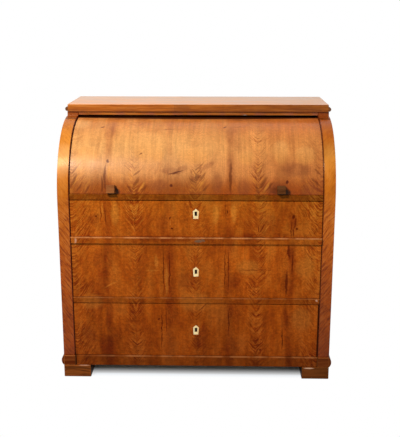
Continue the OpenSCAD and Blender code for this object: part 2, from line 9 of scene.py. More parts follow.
import bmesh
import bpy
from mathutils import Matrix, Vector


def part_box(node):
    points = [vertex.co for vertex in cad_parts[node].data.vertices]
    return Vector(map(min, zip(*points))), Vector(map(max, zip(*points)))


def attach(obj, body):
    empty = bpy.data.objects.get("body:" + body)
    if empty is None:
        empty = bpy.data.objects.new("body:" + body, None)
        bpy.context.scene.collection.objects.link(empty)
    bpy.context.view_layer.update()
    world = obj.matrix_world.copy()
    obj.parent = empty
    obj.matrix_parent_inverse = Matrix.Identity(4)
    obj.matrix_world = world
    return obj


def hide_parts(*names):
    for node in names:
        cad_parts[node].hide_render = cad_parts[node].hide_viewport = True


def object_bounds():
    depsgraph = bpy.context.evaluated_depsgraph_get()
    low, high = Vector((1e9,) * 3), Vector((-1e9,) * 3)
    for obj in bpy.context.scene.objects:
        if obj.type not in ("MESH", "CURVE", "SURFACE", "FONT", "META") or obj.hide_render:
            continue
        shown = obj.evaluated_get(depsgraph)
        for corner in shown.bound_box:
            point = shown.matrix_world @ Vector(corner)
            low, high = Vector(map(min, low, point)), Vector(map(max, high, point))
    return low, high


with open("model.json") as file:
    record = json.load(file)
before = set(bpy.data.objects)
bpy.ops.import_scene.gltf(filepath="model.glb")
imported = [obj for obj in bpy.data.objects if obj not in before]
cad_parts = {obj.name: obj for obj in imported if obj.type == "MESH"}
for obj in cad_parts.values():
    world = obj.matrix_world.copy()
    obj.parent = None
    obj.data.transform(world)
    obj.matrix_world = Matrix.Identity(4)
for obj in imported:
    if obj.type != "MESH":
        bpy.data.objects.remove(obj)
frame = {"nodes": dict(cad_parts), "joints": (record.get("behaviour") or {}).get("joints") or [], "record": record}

cad_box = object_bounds()

nodes = frame["nodes"]
record = frame["record"]
body_of = {node: body for body, names in record["behaviour"]["bodies"].items() for node in names}
fall_joint = next(joint for joint in frame["joints"] if joint["name"] == "fall_roll")
pivot = Vector(fall_joint["pos_m"])

# The fall's outer radius, its end beside the stiles and the plane of the drawers' faces
fall_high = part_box("fall_panel")[1]
fall_radius = fall_high.z - pivot.z
panel_end = fall_high.x
face_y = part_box("drawer_2_front")[0].y


def tone(code):
    """A colour as it looks on screen, such as 8a4a20, as the shader's own numbers."""
    parts = [int(code[i:i + 2], 16) / 255 for i in (0, 2, 4)]
    linear = [p / 12.92 if p <= 0.04045 else ((p + 0.055) / 1.055) ** 2.4 for p in parts]
    return (*linear, 1.0)


# Most of a noise lies between these two numbers
noise_low, noise_high = 0.3, 0.7


class Finish:
    """A material, with short ways to add nodes to it."""

    def __init__(self, name, specular=0.5, coat=0.0, coat_roughness=0.15, metallic=0.0,
                 sheen_tone="ffffff"):
        self.material = bpy.data.materials.new(name)
        self.material.use_nodes = True
        tree = self.material.node_tree
        tree.nodes.clear()
        self.nodes = tree.nodes
        self.links = tree.links
        self.surface = self.nodes.new("ShaderNodeBsdfPrincipled")
        self.surface.inputs["Specular IOR Level"].default_value = specular
        self.surface.inputs["Coat Weight"].default_value = coat
        self.surface.inputs["Coat Roughness"].default_value = coat_roughness
        self.surface.inputs["Metallic"].default_value = metallic
        self.surface.inputs["Specular Tint"].default_value = tone(sheen_tone)
        output = self.nodes.new("ShaderNodeOutputMaterial")
        self.links.new(self.surface.outputs["BSDF"], output.inputs["Surface"])
        place = self.nodes.new("ShaderNodeTexCoord")
        self.place = place.outputs["Object"]
        split = self.nodes.new("ShaderNodeSeparateXYZ")
        self.links.new(self.place, split.inputs[0])
        self.x, self.y, self.z = split.outputs

    def put(self, socket, value):
        """Joins a socket to another, or sets its number."""
        if isinstance(value, bpy.types.NodeSocket):
            self.links.new(value, socket)
        else:
            socket.default_value = value

    def math(self, operation, *values):
        step = self.nodes.new("ShaderNodeMath")
        step.operation = operation
        for socket, value in zip(step.inputs, values):
            self.put(socket, value)
        return step.outputs[0]

    def times(self, a, b):
        return self.math("MULTIPLY", a, b)

    def plus(self, a, b):
        return self.math("ADD", a, b)

    def minus(self, a, b):
        return self.math("SUBTRACT", a, b)

    def most(self, a, b):
        return self.math("MAXIMUM", a, b)

    def size(self, value):
        """A value without its sign."""
        return self.math("ABSOLUTE", value)

    def point(self, x, y, z):
        join = self.nodes.new("ShaderNodeCombineXYZ")
        for socket, value in zip(join.inputs, (x, y, z)):
            self.put(socket, value)
        return join.outputs[0]

    def noise(self, where, scale=1.0, detail=2.0, roughness=0.5, distortion=0.0):
        cloud = self.nodes.new("ShaderNodeTexNoise")
        self.put(cloud.inputs["Vector"], where)
        cloud.inputs["Scale"].default_value = scale
        cloud.inputs["Detail"].default_value = detail
        cloud.inputs["Roughness"].default_value = roughness
        cloud.inputs["Distortion"].default_value = distortion
        return cloud.outputs["Fac"]

    def pattern(self, *ways, **kind):
        """Noise over three ways, each a number or a value with its own scale."""
        steps = [self.times(*way) if isinstance(way, tuple) else way for way in ways]
        return self.noise(self.point(*steps), **kind)

    def swing(self, noise, reach):
        """Noise as a shift to either side of nought."""
        return self.times(self.minus(noise, 0.5), reach)

    def spread(self, value, low, high, to_low=0.0, to_high=1.0, smooth=True):
        """Takes low to to_low and high to to_high, level beyond them."""
        step = self.nodes.new("ShaderNodeMapRange")
        step.interpolation_type = "SMOOTHSTEP" if smooth else "LINEAR"
        for socket, number in zip(step.inputs, (value, low, high, to_low, to_high)):
            self.put(socket, number)
        return step.outputs["Result"]

    def between(self, noise, at_low, at_high):
        """Goes from one number to another as a noise rises."""
        return self.spread(noise, noise_low, noise_high, at_low, at_high)

    def to_right(self, share):
        """1 on the left half of the bureau and the share on its right half."""
        return self.spread(self.x, -0.1, 0.1, 1.0, share)

    def blend(self, share, under, over, mode="MIX"):
        mix = self.nodes.new("ShaderNodeMix")
        mix.data_type = "RGBA"
        mix.blend_type = mode
        mix.clamp_factor = True
        self.put(mix.inputs["Factor"], share)
        self.put(mix.inputs["A"], under)
        self.put(mix.inputs["B"], over)
        return mix.outputs["Result"]

    def lay(self, colour, where, strength, over):
        """Lays another colour over a place, at some strength."""
        return self.blend(self.times(where, strength), colour, over)

    def scale_tone(self, colour, amount):
        """Makes a colour lighter or darker by a number."""
        step = self.nodes.new("ShaderNodeHueSaturation")
        self.put(step.inputs["Color"], colour)
        self.put(step.inputs["Value"], amount)
        return step.outputs["Color"]

    def vary(self, colour, noise, at_low, at_high, low=noise_low, high=noise_high):
        """Scales a colour by one number where a noise is low and by another where it is high."""
        return self.scale_tone(colour, self.spread(noise, low, high, at_low, at_high))

    def tones(self, value, stops):
        """A colour for each value, by stops of (value, colour code)."""
        ramp = self.nodes.new("ShaderNodeValToRGB")
        band = ramp.color_ramp
        band.interpolation = "EASE"
        while len(band.elements) < len(stops):
            band.elements.new(1.0)
        for element, (at, code) in zip(band.elements, stops):
            element.position = at
            element.color = tone(code)
        self.put(ramp.inputs["Fac"], value)
        return ramp.outputs["Color"]

    def vector(self, operation, first, second):
        step = self.nodes.new("ShaderNodeVectorMath")
        step.operation = operation
        self.put(step.inputs[0], first)
        self.put(step.inputs[1], second)
        return step.outputs["Value" if operation == "DOT_PRODUCT" else "Vector"]

    def mark(self, where, x, up, half_wide, half_high, lean):
        """A soft oval: 1 in its middle, 0 at its edge."""
        across = math.cos(math.radians(lean))
        along = math.sin(math.radians(lean))
        away = self.vector("SUBTRACT", where, (x, up, 0.0))
        wide = self.vector("DOT_PRODUCT", away, (across / half_wide, -along / half_wide, 0.0))
        tall = self.vector("DOT_PRODUCT", away, (along / half_high, across / half_high, 0.0))
        reach = self.plus(self.times(wide, wide), self.times(tall, tall))
        return self.spread(reach, 0.12, 1.0, 1.0, 0.0)

    def marks(self, where, rows):
        """The strongest of several marks at each point."""
        shade = 0.0
        for row in rows:
            shade = self.most(shade, self.mark(where, *row))
        return shade

    def worn(self):
        """1 on the rounded edges of a piece, 0 on its faces."""
        eased = self.nodes.new("ShaderNodeAttribute")
        eased.attribute_name = "eased"
        return eased.outputs["Fac"]

    def done(self, colour, roughness, height, relief, strength):
        """Joins the colour, the roughness and the relief to the surface."""
        self.put(self.surface.inputs["Base Color"], colour)
        self.put(self.surface.inputs["Roughness"], roughness)
        bump = self.nodes.new("ShaderNodeBump")
        bump.inputs["Strength"].default_value = strength
        bump.inputs["Distance"].default_value = relief
        self.put(bump.inputs["Height"], height)
        self.links.new(bump.outputs["Normal"], self.surface.inputs["Normal"])
        return self.material


# Marks

# On the front's veneer, each by its middle across and up the front, half its width, half its
# height and how far it leans to the right in degrees
fall_marks = {
    "knots": [
        (-0.352, 0.911, 0.0085, 0.010, 0), (-0.384, 1.090, 0.0045, 0.011, 70),
        (-0.219, 0.945, 0.003, 0.0085, 55), (-0.098, 0.814, 0.0085, 0.009, 0),
        (0.114, 1.091, 0.0045, 0.011, 50), (0.360, 0.830, 0.007, 0.009, 0),
        (-0.074, 0.868, 0.003, 0.030, 76),
    ],
    # Dark threads of the grain, and painted shadows beside the knobs
    "threads": [
        (-0.361, 0.850, 0.0065, 0.062, 2), (-0.372, 0.815, 0.005, 0.040, 0),
        (0.136, 0.840, 0.007, 0.072, 0), (0.140, 0.886, 0.005, 0.030, 0),
        (-0.110, 1.075, 0.0028, 0.045, 89), (0.165, 1.094, 0.0024, 0.045, 89),
        (-0.090, 0.862, 0.004, 0.024, 84), (-0.306, 0.789, 0.011, 0.013, -25),
        (-0.314, 0.800, 0.006, 0.016, -15), (0.362, 0.789, 0.016, 0.011, 0),
        (-0.362, 0.822, 0.0055, 0.030, 0), (0.314, 0.797, 0.026, 0.020, 0),
    ],
    "smears": [
        (-0.352, 1.070, 0.028, 0.075, 6), (0.147, 1.030, 0.040, 0.100, -6),
        (-0.060, 0.876, 0.016, 0.040, 66), (-0.052, 0.881, 0.014, 0.026, 60),
        (-0.100, 0.872, 0.050, 0.018, 0), (0.132, 0.906, 0.014, 0.026, 0),
        (0.040, 0.890, 0.014, 0.050, 60), (0.310, 0.804, 0.060, 0.030, 0),
        (0.085, 0.826, 0.024, 0.055, 0), (0.190, 0.806, 0.036, 0.040, 0),
        (-0.150, 0.815, 0.050, 0.030, 0), (-0.300, 1.165, 0.100, 0.016, 0),
        (0.180, 1.160, 0.090, 0.014, 0), (0.455, 0.800, 0.050, 0.036, 0),
        (0.400, 0.880, 0.080, 0.040, 0),
    ],
    "strokes": [
        (-0.238, 0.822, 0.0085, 0.034, 30), (-0.205, 0.803, 0.007, 0.022, 38),
        (-0.234, 0.864, 0.005, 0.022, 48), (-0.486, 0.830, 0.007, 0.042, 26),
        (-0.462, 0.806, 0.006, 0.030, 32), (-0.484, 0.872, 0.0045, 0.026, 36),
        (0.012, 0.890, 0.005, 0.026, 44), (0.006, 0.848, 0.012, 0.018, 20),
        (0.026, 0.850, 0.006, 0.028, 36), (0.265, 0.826, 0.0095, 0.038, 30),
        (0.292, 0.812, 0.005, 0.028, 38), (0.244, 0.800, 0.006, 0.024, -20),
        (-0.016, 0.836, 0.006, 0.022, -40), (-0.262, 0.800, 0.005, 0.022, -32),
        (0.470, 0.830, 0.005, 0.032, -50), (0.480, 0.870, 0.004, 0.028, -48),
        (0.040, 0.806, 0.006, 0.024, 40), (-0.430, 0.800, 0.006, 0.026, 34),
    ],
    # Pale strokes of the figure, and broad patches of painted highlight where the lamp shines on the fall
    "lights": [
        (-0.214, 0.810, 0.006, 0.028, 34), (-0.262, 0.852, 0.005, 0.024, -36),
        (0.279, 0.810, 0.006, 0.034, 34), (0.022, 0.822, 0.005, 0.026, 36),
        (-0.474, 0.838, 0.005, 0.036, 30), (0.250, 0.880, 0.005, 0.022, 38),
        (-0.345, 0.870, 0.006, 0.050, 0), (-0.190, 0.980, 0.080, 0.090, 0),
        (-0.010, 0.940, 0.080, 0.050, 0), (-0.440, 0.940, 0.060, 0.050, 0),
        (0.200, 0.930, 0.040, 0.040, 0), (-0.480, 1.120, 0.050, 0.050, 0),
        (0.430, 0.940, 0.050, 0.050, 0), (0.335, 0.955, 0.040, 0.065, 0),
        (-0.155, 0.945, 0.034, 0.045, 0),
    ],
}
drawer_marks = {
    "knots": [
        (-0.103, 0.684, 0.0045, 0.007, 10), (-0.095, 0.642, 0.006, 0.005, 0),
        (0.126, 0.712, 0.0028, 0.012, 0), (0.388, 0.692, 0.0065, 0.012, 8),
        (0.401, 0.643, 0.006, 0.006, 0), (0.129, 0.501, 0.0045, 0.005, 0),
        (-0.152, 0.256, 0.004, 0.008, 60), (-0.143, 0.217, 0.0045, 0.006, 0),
        (-0.398, 0.690, 0.005, 0.006, 40), (0.264, 0.124, 0.005, 0.006, 0),
    ],
    "threads": [
        (-0.378, 0.700, 0.0022, 0.050, 0), (-0.361, 0.690, 0.0028, 0.055, 0),
        (-0.131, 0.458, 0.003, 0.125, 0), (-0.107, 0.458, 0.0034, 0.125, 0),
        (0.117, 0.470, 0.0026, 0.110, 0), (0.131, 0.470, 0.003, 0.110, 0),
        (0.371, 0.548, 0.007, 0.040, -3), (0.388, 0.500, 0.0032, 0.050, 0),
        (0.366, 0.415, 0.0065, 0.070, 0), (0.394, 0.668, 0.005, 0.032, 6),
        (0.379, 0.640, 0.003, 0.040, 0), (0.388, 0.630, 0.003, 0.032, -6),
        (-0.141, 0.210, 0.003, 0.110, 0), (-0.122, 0.250, 0.0026, 0.070, 0),
        (0.134, 0.250, 0.0028, 0.080, 0), (0.355, 0.170, 0.0028, 0.060, 0),
        (0.245, 0.470, 0.002, 0.095, 89), (0.117, 0.720, 0.002, 0.040, 0),
        (0.250, 0.640, 0.003, 0.020, 6), (0.264, 0.642, 0.0035, 0.026, 34),
        (-0.243, 0.670, 0.002, 0.034, 0), (0.030, 0.310, 0.0025, 0.030, 44),
    ],
    "smears": [
        (-0.376, 0.430, 0.036, 0.080, 0), (-0.366, 0.530, 0.012, 0.050, 0),
        (-0.135, 0.655, 0.030, 0.050, 0), (-0.390, 0.510, 0.032, 0.060, 0),
        (0.285, 0.655, 0.052, 0.060, 0), (0.158, 0.423, 0.026, 0.040, 0),
        (-0.030, 0.420, 0.060, 0.045, 0), (0.362, 0.260, 0.020, 0.070, 0),
        (0.150, 0.130, 0.036, 0.060, 0), (-0.372, 0.140, 0.036, 0.060, 0),
        (-0.100, 0.600, 0.240, 0.016, 0), (0.280, 0.610, 0.220, 0.020, 0),
        (-0.405, 0.678, 0.030, 0.030, 30), (0.140, 0.300, 0.018, 0.050, 0),
        (-0.390, 0.340, 0.036, 0.055, 0), (-0.362, 0.250, 0.014, 0.060, 0),
        (-0.440, 0.190, 0.060, 0.030, 60), (0.020, 0.180, 0.030, 0.070, 20),
        (0.006, 0.588, 0.030, 0.013, 0), (0.390, 0.660, 0.022, 0.045, 0),
        (0.378, 0.540, 0.018, 0.040, 0), (0.360, 0.420, 0.020, 0.060, 0),
    ],
    "strokes": [],
    "lights": [
        (-0.322, 0.700, 0.020, 0.060, 0), (0.150, 0.704, 0.014, 0.050, 0),
        (-0.119, 0.425, 0.008, 0.080, 0), (-0.160, 0.505, 0.010, 0.034, 0),
        (0.078, 0.700, 0.016, 0.050, 0), (-0.175, 0.465, 0.003, 0.035, 90),
        (-0.344, 0.405, 0.0035, 0.040, 60), (0.440, 0.480, 0.050, 0.060, 0),
        (0.430, 0.260, 0.050, 0.060, 0), (0.210, 0.480, 0.060, 0.040, 0),
        (-0.371, 0.715, 0.003, 0.040, 0), (-0.101, 0.664, 0.0022, 0.012, 0),
        (-0.425, 0.330, 0.060, 0.040, 0), (0.000, 0.330, 0.080, 0.050, 0),
        (-0.484, 0.590, 0.0034, 0.018, 0), (0.489, 0.343, 0.008, 0.006, 0),
        (0.4975, 0.450, 0.0022, 0.110, 0), (-0.440, 0.103, 0.005, 0.006, 0),
        (-0.250, 0.640, 0.0028, 0.024, -28), (-0.236, 0.710, 0.0028, 0.022, 12),
        (-0.252, 0.710, 0.0028, 0.022, -14), (0.280, 0.640, 0.003, 0.026, 36),
    ],
}

# Painted shadows of the two knobs, and bruises and chips on the rails with their strength and tone
knob_shadows = [
    (-0.313, 0.792, 0.0085, 0.017, -20), (-0.330, 0.7815, 0.026, 0.0035, 0),
    (0.358, 0.790, 0.009, 0.015, -15), (0.342, 0.7815, 0.026, 0.0035, 0),
]
rail_marks = {
    "drawer_rail_1": [
        ([(0.012, 0.591, 0.022, 0.0075, 0), (0.030, 0.594, 0.010, 0.005, 40)], 0.75, "705840"),
        ([(-0.484, 0.590, 0.005, 0.012, 0)], 0.6, "d09c7c"),
    ],
    "drawer_rail_2": [([(0.489, 0.341, 0.0075, 0.0055, 20)], 0.8, "d09c7c")],
}

# Where two gaps are wider than the others: where the painted shade starts and where it is full across the front
wide_gaps = {
    "drawer_3_front": (panel_end - 0.0066, panel_end - 0.005),
    "base_rail": (0.007 - panel_end, 0.0046 - panel_end),
}

# Heights on the fall, measured along its curve: the painted shade in the slot begins at the first and is full at
# the second, the lower edge's smoke is full at the third and gone at the fourth
slot_shade_start, slot_shade_full = 1.164, 1.177
smoke_full, smoke_gone = 0.795, 0.872

# Half the keyhole's width, and how deep the key plates sit in the drawers' fronts
keyhole_half = 0.0056
key_plate_seat = 0.003


# Veneer

# The width of one leaf, and how far its heartwood stands right of midway between two joints
leaf_w = 0.245
heart_shift = 0.0135

# The front pieces that end below this height are a little lighter towards the right
lower_front = 0.6


def climb(finish):
    """Height up the front: straight to the pivot's level, then along the fall's curve."""
    ahead = finish.minus(pivot.y, finish.y)
    above = finish.minus(finish.z, pivot.z)
    arc = finish.times(finish.math("ARCTAN2", above, ahead), fall_radius)
    over = finish.math("GREATER_THAN", above, 0.0)
    mixed = finish.plus(finish.times(over, arc), finish.times(finish.minus(1.0, over), above))
    return finish.plus(mixed, pivot.z)


def share_of_height(finish, up):
    """0 near the base rail, 1 at the top of the fall."""
    return finish.spread(up, 0.05, 1.20, smooth=False)


def reaching(rows, low, high):
    """The marks that touch a piece which stands between two heights."""
    kept = []
    for row in rows:
        up, half_wide, half_high, lean = row[1:]
        turn = math.radians(lean)
        rise = abs(half_high * math.cos(turn)) + abs(half_wide * math.sin(turn)) + 0.010
        if up + rise > low and up - rise < high:
            kept.append(row)
    return kept


def leaves(finish, up):
    """The way across, slightly wandering, each leaf's number and the way from its joint."""
    drift = finish.pattern((finish.x, 5.0), (up, 3.2), 1.7)
    across = finish.plus(finish.x, finish.swing(drift, 0.016))
    in_leaves = finish.math("DIVIDE", across, leaf_w)
    leaf = finish.math("ROUND", in_leaves)
    from_seam = finish.times(finish.math("PINGPONG", in_leaves, 0.5), leaf_w)
    within = finish.math("LESS_THAN", finish.size(across), 2 * leaf_w)
    return across, leaf, finish.times(from_seam, within)


def feather(finish, up, leaf, from_seam):
    """Strokes that climb away from each joint, and how strong they are."""
    slope = finish.plus(finish.times(from_seam, 0.95),
                        finish.times(finish.times(from_seam, from_seam), 6.0))
    wobble = finish.pattern((finish.x, 26.0), (up, 18.0), 4.2, detail=3.0)
    level = finish.plus(finish.minus(up, slope), finish.swing(wobble, 0.030))
    seed = finish.times(leaf, 3.7)
    stripes = finish.pattern((level, 165.0), (from_seam, 40.0), seed, detail=3.0, roughness=0.7)
    patches = finish.pattern((finish.x, 13.0), (up, 9.0), seed)
    outer = finish.math("GREATER_THAN", finish.size(leaf), 1.5)
    reach = finish.plus(0.050, finish.times(outer, 0.06))
    near = finish.spread(from_seam, 0.010, reach, 1.0, 0.26)
    figure = finish.times(near, finish.spread(patches, 0.38, 0.62, 0.25, 1.0))
    return finish.spread(stripes, 0.36, 0.64), figure


def heartwood(finish, up, across):
    """Dark heartwood that runs up between the joints."""
    shifted = finish.math("DIVIDE", finish.minus(across, heart_shift), leaf_w)
    from_joint = finish.times(finish.math("PINGPONG", shifted, 0.5), leaf_w)
    heart = finish.spread(finish.minus(leaf_w / 2, from_joint), 0.004, 0.026, 1.0, 0.0)
    life = finish.pattern((finish.x, 6.0), (up, 6.0), 9.1, detail=3.0, roughness=0.6)
    return finish.times(heart, finish.spread(life, 0.36, 0.62, 0.1, 1.0))


def gap_and_slot_shade(finish, node, up, here):
    """Painted shade beside the stiles, in the slot above the fall and in the keyholes, and the knobs' painted
    shadows.
    """
    painted_shade = finish.spread(finish.size(finish.x), panel_end - 0.003, panel_end - 0.001)
    painted_shade = finish.times(painted_shade, finish.to_right(0.8))
    if node == "fall_panel":
        bowed = finish.minus(up, finish.times(finish.times(finish.x, finish.x), 0.08))
        painted_shade = finish.most(painted_shade, finish.spread(bowed, slot_shade_start, slot_shade_full))
        painted_shade = finish.most(painted_shade, finish.marks(here, knob_shadows))
    if node in wide_gaps:
        painted_shade = finish.most(painted_shade, finish.spread(finish.x, *wide_gaps[node]))
    if node.endswith("_front"):
        in_keyhole = finish.math("LESS_THAN", finish.size(finish.x), keyhole_half)
        behind_plate = finish.math("GREATER_THAN", finish.y, face_y + key_plate_seat)
        painted_shade = finish.most(painted_shade, finish.times(in_keyhole, behind_plate))
    return painted_shade


def narrow_piece(finish, node, colour, where, dim, edge):
    """Darkens a narrow piece, with a painted highlight along its upper edge and painted shade along its lower one.
    """
    low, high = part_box(node)
    colour = finish.scale_tone(colour, dim)
    rubbed_and_glint = finish.pattern((finish.x, 14.0), 0.0, 3.0)
    top_highlight = finish.times(finish.spread(finish.z, high.z - 0.0054, high.z - 0.003),
                        finish.spread(rubbed_and_glint, 0.40, 0.56, edge * 0.25, edge))
    if node == "base_rail":
        top_highlight = finish.times(top_highlight, finish.spread(finish.x, -0.46, -0.30, 0.2, 1.0))
    colour = finish.blend(top_highlight, colour, tone("cc8048"))
    for rows, strength, code in rail_marks.get(node, ()):
        colour = finish.lay(colour, finish.marks(where, rows), strength, tone(code))
    shade = finish.spread(finish.z, low.z + 0.002, low.z + 0.0008, 0.0, 0.8)
    return finish.blend(shade, colour, tone("3a0c00"))


def front_veneer(node, marks, smear_tone, shine, shine_tone, matt, dim=1.0, edge=None):
    """Feather-figured leaves matched at their joints, running on from piece to piece."""
    low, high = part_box(node)
    is_fall = node == "fall_panel"
    finish = Finish(f"{node}_veneer", specular=shine, sheen_tone=shine_tone)
    x, z = finish.x, finish.z
    up = climb(finish) if is_fall else z
    here = finish.point(x, up, 0.0)
    if not is_fall:
        marks = {kind: reaching(rows, low.z, high.z) for kind, rows in marks.items()}
    across, leaf, from_seam = leaves(finish, up)

    # The figure fades up the fall, but not beside the joint right of its middle
    stripes, figure = feather(finish, up, leaf, from_seam)
    fading = finish.spread(up, 0.86, 0.96, 1.0, 0.38)
    if is_fall:
        along_seam = finish.mark(here, 0.249, 0.98, 0.075, 0.150, 0)
        fading = finish.most(fading, finish.times(along_seam, 0.95))
    figure = finish.times(figure, fading)

    # Straight fine grain, short flecks, silk and slow changes of tone
    grain = finish.pattern((across, 330.0), (up, 9.0), 2.2, detail=3.0, roughness=0.65)
    grain = finish.between(grain, 0.0, 1.0)
    flecks = finish.pattern((x, 420.0), (up, 260.0), 5.0)
    silk = finish.pattern((x, 85.0), (up, 120.0), 3.6, detail=3.0, roughness=0.6, distortion=0.6)
    clouds = finish.pattern((x, 17.0), (up, 6.0), 6.6, detail=4.0, roughness=0.62)
    curtain = finish.pattern((across, 75.0), (up, 5.0), 10.4, detail=3.0, roughness=0.6)
    bloom = finish.pattern((x, 4.0), (up, 4.5), 12.3, detail=3.0)

    # The front is dark red-brown at the bottom and lighter in the middle of the fall, partly bleached and partly a
    # painted highlight
    age = share_of_height(finish, up)
    body = finish.tones(age, [(0.0, "8e3c06"), (0.20, "9c4306"), (0.42, "ac4e0c"),
                              (0.52, "ae500c"), (0.61, "b2560e"), (0.64, "b4580c"),
                              (0.71, "cc8446"), (0.80, "d69654"), (0.95, "c67430")])
    deep = finish.tones(age, [(0.0, "561202"), (0.45, "6c1c04"), (0.61, "802a06"),
                              (0.66, "803404"), (0.9, "a85a2c")])
    bright = finish.tones(age, [(0.0, "a4521a"), (0.45, "be6a20"), (0.61, "cc7824"),
                                (0.66, "cc7c28"), (0.9, "eaa660")])
    cloud_light, cloud_depth = (0.30, 0.24) if is_fall else (0.38, 0.42)
    silk_low, silk_high = (0.90, 1.08) if is_fall else (0.79, 1.17)
    colour = finish.blend(finish.spread(clouds, 0.45, 0.68, 0.0, cloud_light), body, bright)
    colour = finish.blend(finish.spread(clouds, 0.54, 0.36, 0.0, cloud_depth), colour, deep)
    colour = finish.lay(colour, heartwood(finish, up, across), 0.50, deep)

    # The lower edge of the fall is smoked dark, in tongues that follow the grain
    if is_fall:
        tongue = finish.pattern((across, 34.0), (up, 3.0), 7.7, detail=3.0)
        smoked = finish.plus(up, finish.swing(tongue, 0.07))
        smoke = finish.spread(smoked, smoke_full, smoke_gone, 0.45, 0.0)
        smoke = finish.times(smoke, finish.spread(x, -0.10, 0.05, 1.20, 1.0))
        colour = finish.blend(smoke, colour, deep)

    dark_stripe = finish.times(finish.spread(stripes, 0.0, 0.5, 1.0, 0.0), figure)
    light_stripe = finish.times(finish.spread(stripes, 0.5, 1.0), figure)
    colour = finish.lay(colour, dark_stripe, 0.85, deep)
    colour = finish.lay(colour, light_stripe, 0.65, bright)

    # The fall is redder towards the right. The lower drawers are lighter there, but dimmer in
    # a tall patch right of the middle.
    if is_fall:
        colour = finish.blend(finish.spread(x, -0.15, 0.45), colour, tone("ffe6cc"),
                              mode="MULTIPLY")
    elif high.z < lower_front:
        colour = finish.vary(colour, x, 1.0, 1.13, -0.30, 0.35)
        middle = finish.mark(here, 0.070, 0.260, 0.110, 0.340, 0)
        colour = finish.scale_tone(colour, finish.minus(1.0, finish.times(middle, 0.12)))

    # Marks one by one, on a slightly wandering surface
    wander = finish.pattern((x, 60.0), (up, 60.0), 1.0, detail=3.0)
    sway = finish.pattern((x, 24.0), (up, 24.0), 8.0)
    spot_x = finish.plus(x, finish.swing(wander, 0.007))
    spot_x = finish.plus(spot_x, finish.swing(sway, 0.012))
    where = finish.point(spot_x, finish.plus(up, finish.swing(wander, 0.010)), 0.0)
    smear = finish.times(finish.marks(where, marks["smears"]),
                         finish.spread(clouds, 0.3, 0.6, 0.65, 0.35))
    colour = finish.blend(smear, colour, finish.blend(0.45, deep, tone(smear_tone)))
    # Pale marks: strokes of the figure and, on the fall, patches of painted highlight
    colour = finish.lay(colour, finish.marks(where, marks["lights"]), 0.6, bright)
    shadow = finish.scale_tone(deep, 0.68)
    colour = finish.lay(colour, finish.marks(where, marks["strokes"]), 0.6, shadow)
    colour = finish.lay(colour, finish.marks(where, marks["threads"]), 0.82, shadow)
    colour = finish.vary(colour, grain, 0.95, 1.05, 0.0, 1.0)
    colour = finish.vary(colour, flecks, 0.90, 1.09)
    colour = finish.vary(colour, silk, silk_low, silk_high)
    colour = finish.vary(colour, curtain, 0.90, 1.09)
    colour = finish.vary(colour, bloom, 1.05, 0.93, 0.35, 0.7)
    colour = finish.lay(colour, finish.marks(where, marks["knots"]), 0.90, tone("520f00"))
    if edge is None:
        colour = finish.lay(colour, finish.worn(), 0.30, bright)
    # Painted shade in the gaps, the slot and the keyholes, and the knobs' painted shadows
    colour = finish.lay(colour, gap_and_slot_shade(finish, node, up, here), 0.97, tone("340a00"))
    if edge is not None:
        colour = narrow_piece(finish, node, colour, where, dim, edge)

    roughness = finish.between(clouds, matt - 0.05, matt + 0.07)
    ripple = finish.pattern((x, 14.0), (up, 14.0), 3.0, detail=1.0)
    height = finish.plus(finish.times(grain, 0.12), ripple)
    return finish.done(colour, roughness, height, relief=0.0012, strength=0.35)


def flat_veneer(node, dim=1.0, edge=None):
    """The front's veneer on one of the flat pieces below the fall."""
    return front_veneer(node, drawer_marks, smear_tone="6c2206", shine=0.12, shine_tone="ffbe82",
                        matt=0.42, dim=dim, edge=edge)


